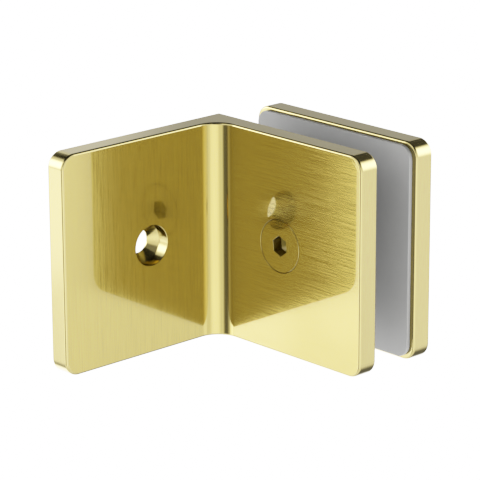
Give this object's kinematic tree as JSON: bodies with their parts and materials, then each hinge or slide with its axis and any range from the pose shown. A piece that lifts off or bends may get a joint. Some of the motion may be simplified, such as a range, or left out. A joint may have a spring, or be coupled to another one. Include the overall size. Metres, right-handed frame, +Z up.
{
  "type": "wall-to-glass panel clamp",
  "caption": "Square right-angle clamp: an L bracket for the wall and a clamp plate that a countersunk screw draws against a glass panel.",
  "frame": {"origin": "middle of the wall screw's hole, in the face that lies on the wall", "axes": "+Z up, +Y into the wall, +X from the wall leaf towards the glass and the clamp plate"},
  "size_m": [0.067, 0.05, 0.05],
  "materials": {
    "bracket_metal": "finely brushed and polished gold plating",
    "plate_metal": "finely brushed and polished gold plating",
    "screw_metal": "gold plating over steel, faced head and bright thread",
    "gasket_rubber": "satin grey sheet",
    "bush_plastic": "natural nylon"
  },
  "bodies": {
    "bracket": {"wall_bracket": "bracket_metal", "bracket_gasket": "gasket_rubber"},
    "plate": {"clamp_plate": "plate_metal", "plate_gasket": "gasket_rubber", "glass_bush": "bush_plastic"},
    "screw": {"clamp_screw": "screw_metal"}
  },
  "joints": [
    {"name": "screw_turn", "type": "hinge", "parent": "bracket", "child": "screw", "pos_m": [0.025, -0.025, 0], "axis": [1, 0, 0], "range_deg": [-720, 720]},
    {"name": "plate_slide", "type": "slide", "parent": "bracket", "child": "plate", "axis": [1, 0, 0], "range_m": [-0.002, 0.002]}
  ],
  "couplings": [
    {"joint": "screw_turn", "follows": "plate_slide", "rad_per_m": -6283.2}
  ]
}
